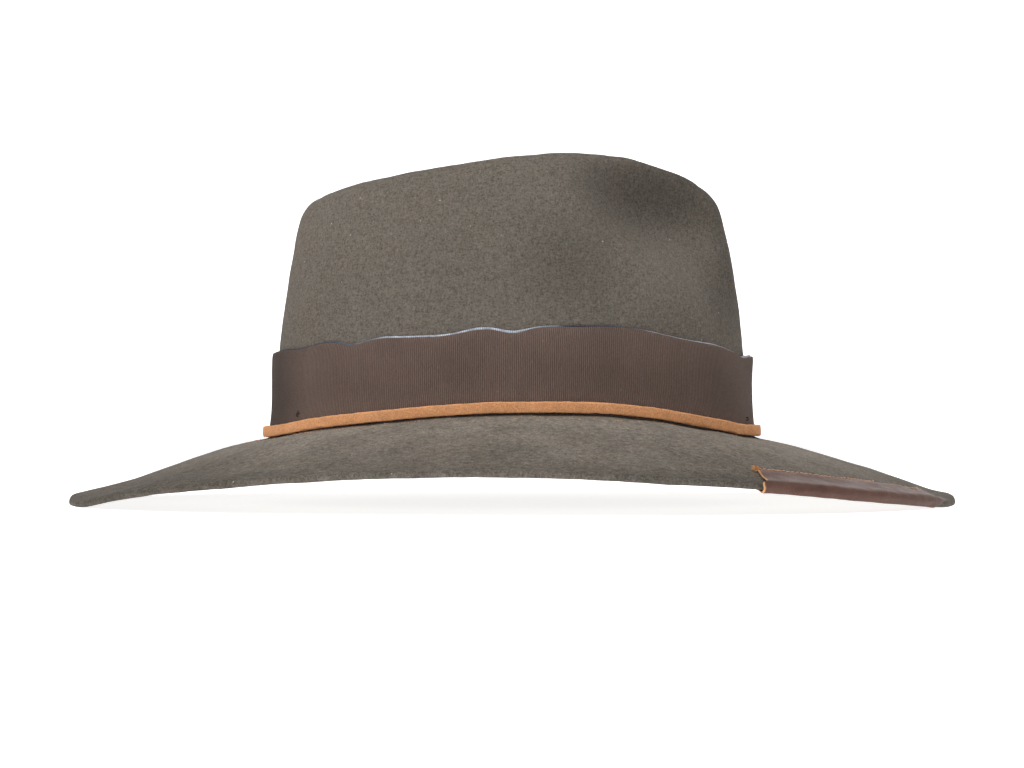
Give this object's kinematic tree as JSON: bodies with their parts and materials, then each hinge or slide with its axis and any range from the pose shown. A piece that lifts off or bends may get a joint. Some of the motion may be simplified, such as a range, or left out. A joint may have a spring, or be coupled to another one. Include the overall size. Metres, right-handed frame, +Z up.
{
  "type": "wool felt hat",
  "caption": "Wide-brimmed felt hat with a teardrop crown, front pinch, ribbon, lace and a leather patch folded over the rim.",
  "frame": {"origin": "centre of the hat's outline on the surface that it rests on", "axes": "+X towards the wearer's front, +Y towards the wearer's left, +Z up"},
  "size_m": [0.3777, 0.3434, 0.1466],
  "materials": {
    "felt": "matt wool felt, grey-brown",
    "ribbon": "dark brown grosgrain",
    "edge": "blue woven edge",
    "lace": "tan suede",
    "patch": "smooth brown leather with a soft gloss"
  },
  "bodies": {
    "root": {"felt_body": "felt", "ribbon_band": "ribbon", "ribbon_edge": "edge", "leather_lace": "lace", "brim_patch": "patch"}
  },
  "joints": []
}
